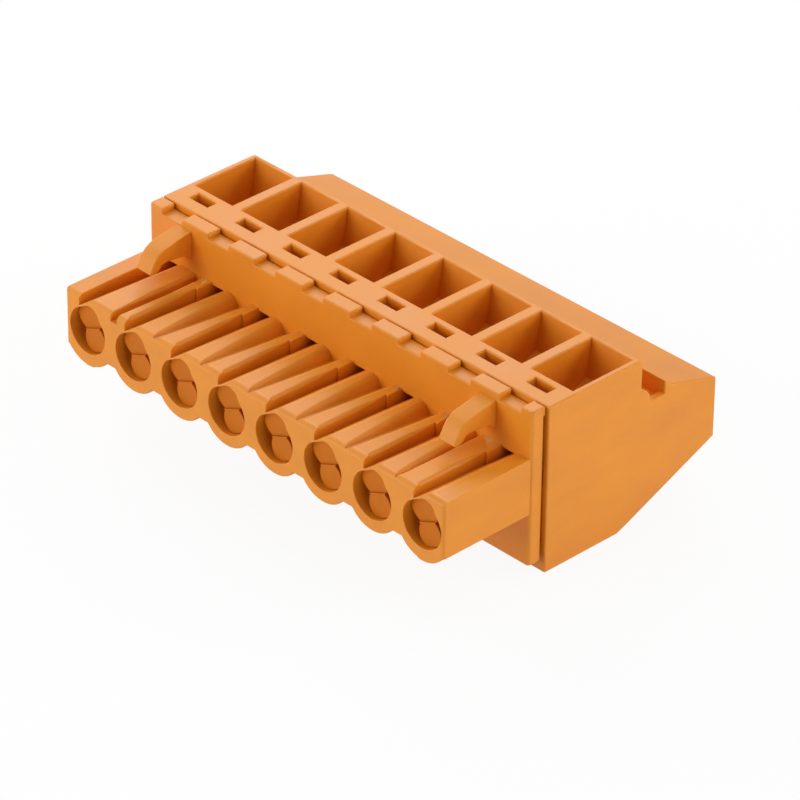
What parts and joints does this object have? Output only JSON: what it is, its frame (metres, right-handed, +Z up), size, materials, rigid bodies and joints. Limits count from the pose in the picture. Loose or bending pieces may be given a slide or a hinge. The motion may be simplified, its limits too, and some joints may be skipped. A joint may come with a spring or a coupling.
{
  "type": "pluggable terminal block",
  "caption": "Pluggable terminal block: a row of keyed socket tubes with locking hooks in front, wire chambers on top and screw clamps inside.",
  "frame": {"origin": "centre of the bounding box's base, on the flat of the underside's plane", "axes": "+X along the row of poles, -Y the mating direction in which the tubes point, +Z up through the wire chambers' openings"},
  "size_m": [0.0406, 0.0272, 0.014],
  "materials": {
    "housing": "fine satin moulded surface",
    "contact": "bare rolled copper alloy",
    "clamp": "zinc plated",
    "screw": "zinc plated"
  },
  "bodies": {
    "housing": {"rear_housing": "housing", "mating_shell": "housing", "contact_1": "contact", "contact_2": "contact", "contact_3": "contact", "contact_4": "contact", "contact_5": "contact", "contact_6": "contact", "contact_7": "contact", "contact_8": "contact"},
    "screw_1": {"screw_1": "screw"},
    "clamp_1": {"clamp_1": "clamp"},
    "screw_2": {"screw_2": "screw"},
    "clamp_2": {"clamp_2": "clamp"},
    "screw_3": {"screw_3": "screw"},
    "clamp_3": {"clamp_3": "clamp"},
    "screw_4": {"screw_4": "screw"},
    "clamp_4": {"clamp_4": "clamp"},
    "screw_5": {"screw_5": "screw"},
    "clamp_5": {"clamp_5": "clamp"},
    "screw_6": {"screw_6": "screw"},
    "clamp_6": {"clamp_6": "clamp"},
    "screw_7": {"screw_7": "screw"},
    "clamp_7": {"clamp_7": "clamp"},
    "screw_8": {"screw_8": "screw"},
    "clamp_8": {"clamp_8": "clamp"}
  },
  "joints": [
    {"name": "screw_1_turn", "type": "hinge", "parent": "housing", "child": "screw_1", "pos_m": [-0.01778, 0.00265, 0.00667], "axis": [0, -1, 0], "range_deg": [0, 1920]},
    {"name": "clamp_1_slide", "type": "slide", "parent": "housing", "child": "clamp_1", "axis": [0, 1, 0], "range_m": [0, 0.0024]},
    {"name": "screw_2_turn", "type": "hinge", "parent": "housing", "child": "screw_2", "pos_m": [-0.0127, 0.00265, 0.00667], "axis": [0, -1, 0], "range_deg": [0, 1920]},
    {"name": "clamp_2_slide", "type": "slide", "parent": "housing", "child": "clamp_2", "axis": [0, 1, 0], "range_m": [0, 0.0024]},
    {"name": "screw_3_turn", "type": "hinge", "parent": "housing", "child": "screw_3", "pos_m": [-0.00762, 0.00265, 0.00667], "axis": [0, -1, 0], "range_deg": [0, 1920]},
    {"name": "clamp_3_slide", "type": "slide", "parent": "housing", "child": "clamp_3", "axis": [0, 1, 0], "range_m": [0, 0.0024]},
    {"name": "screw_4_turn", "type": "hinge", "parent": "housing", "child": "screw_4", "pos_m": [-0.00254, 0.00265, 0.00667], "axis": [0, -1, 0], "range_deg": [0, 1920]},
    {"name": "clamp_4_slide", "type": "slide", "parent": "housing", "child": "clamp_4", "axis": [0, 1, 0], "range_m": [0, 0.0024]},
    {"name": "screw_5_turn", "type": "hinge", "parent": "housing", "child": "screw_5", "pos_m": [0.00254, 0.00265, 0.00667], "axis": [0, -1, 0], "range_deg": [0, 1920]},
    {"name": "clamp_5_slide", "type": "slide", "parent": "housing", "child": "clamp_5", "axis": [0, 1, 0], "range_m": [0, 0.0024]},
    {"name": "screw_6_turn", "type": "hinge", "parent": "housing", "child": "screw_6", "pos_m": [0.00762, 0.00265, 0.00667], "axis": [0, -1, 0], "range_deg": [0, 1920]},
    {"name": "clamp_6_slide", "type": "slide", "parent": "housing", "child": "clamp_6", "axis": [0, 1, 0], "range_m": [0, 0.0024]},
    {"name": "screw_7_turn", "type": "hinge", "parent": "housing", "child": "screw_7", "pos_m": [0.0127, 0.00265, 0.00667], "axis": [0, -1, 0], "range_deg": [0, 1920]},
    {"name": "clamp_7_slide", "type": "slide", "parent": "housing", "child": "clamp_7", "axis": [0, 1, 0], "range_m": [0, 0.0024]},
    {"name": "screw_8_turn", "type": "hinge", "parent": "housing", "child": "screw_8", "pos_m": [0.01778, 0.00265, 0.00667], "axis": [0, -1, 0], "range_deg": [0, 1920]},
    {"name": "clamp_8_slide", "type": "slide", "parent": "housing", "child": "clamp_8", "axis": [0, 1, 0], "range_m": [0, 0.0024]}
  ],
  "couplings": [
    {"joint": "screw_1_turn", "follows": "clamp_1_slide", "rad_per_m": 13963},
    {"joint": "screw_2_turn", "follows": "clamp_2_slide", "rad_per_m": 13963},
    {"joint": "screw_3_turn", "follows": "clamp_3_slide", "rad_per_m": 13963},
    {"joint": "screw_4_turn", "follows": "clamp_4_slide", "rad_per_m": 13963},
    {"joint": "screw_5_turn", "follows": "clamp_5_slide", "rad_per_m": 13963},
    {"joint": "screw_6_turn", "follows": "clamp_6_slide", "rad_per_m": 13963},
    {"joint": "screw_7_turn", "follows": "clamp_7_slide", "rad_per_m": 13963},
    {"joint": "screw_8_turn", "follows": "clamp_8_slide", "rad_per_m": 13963}
  ]
}
